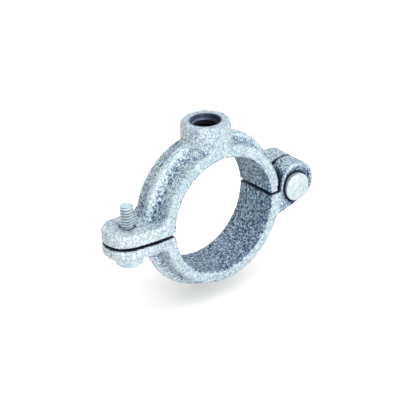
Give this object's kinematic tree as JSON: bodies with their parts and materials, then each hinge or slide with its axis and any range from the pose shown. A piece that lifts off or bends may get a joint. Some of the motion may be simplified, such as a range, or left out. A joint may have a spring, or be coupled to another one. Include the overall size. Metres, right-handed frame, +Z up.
{
  "type": "split ring hanger",
  "caption": "Hinged split ring pipe hanger: cast upper half with a tapped rod boss, riveted swinging lower jaw and a closing bolt through the ears.",
  "frame": {"origin": "on the pipe's axis, midway along the ring", "axes": "+Y along the pipe towards the rear, +Z up the hanger rod, +X from the bolt ears towards the hinge"},
  "size_m": [0.0855, 0.0205, 0.0627],
  "materials": {
    "galvanised_casting": "galvanised, fine sand-cast grain, dull metallic",
    "plated_rivet": "zinc plated, smooth satin",
    "plated_bolt": "zinc plated, dull"
  },
  "bodies": {
    "upper": {"upper_half": "galvanised_casting", "hinge_rivet": "plated_rivet"},
    "jaw": {"lower_jaw": "galvanised_casting"},
    "bolt": {"closing_bolt": "plated_bolt"}
  },
  "joints": [
    {"name": "jaw_swing", "type": "hinge", "parent": "upper", "child": "jaw", "pos_m": [0.0332, 0, -0.0001], "axis": [0, -1, 0], "range_deg": [0, 8]},
    {"name": "bolt_withdraw", "type": "slide", "parent": "upper", "child": "bolt", "axis": [0, 0, -1], "range_m": [0, 0.0107]}
  ],
  "couplings": [
    {"joint": "bolt_withdraw", "follows": "jaw_swing", "m_per_rad": 0.0758}
  ]
}
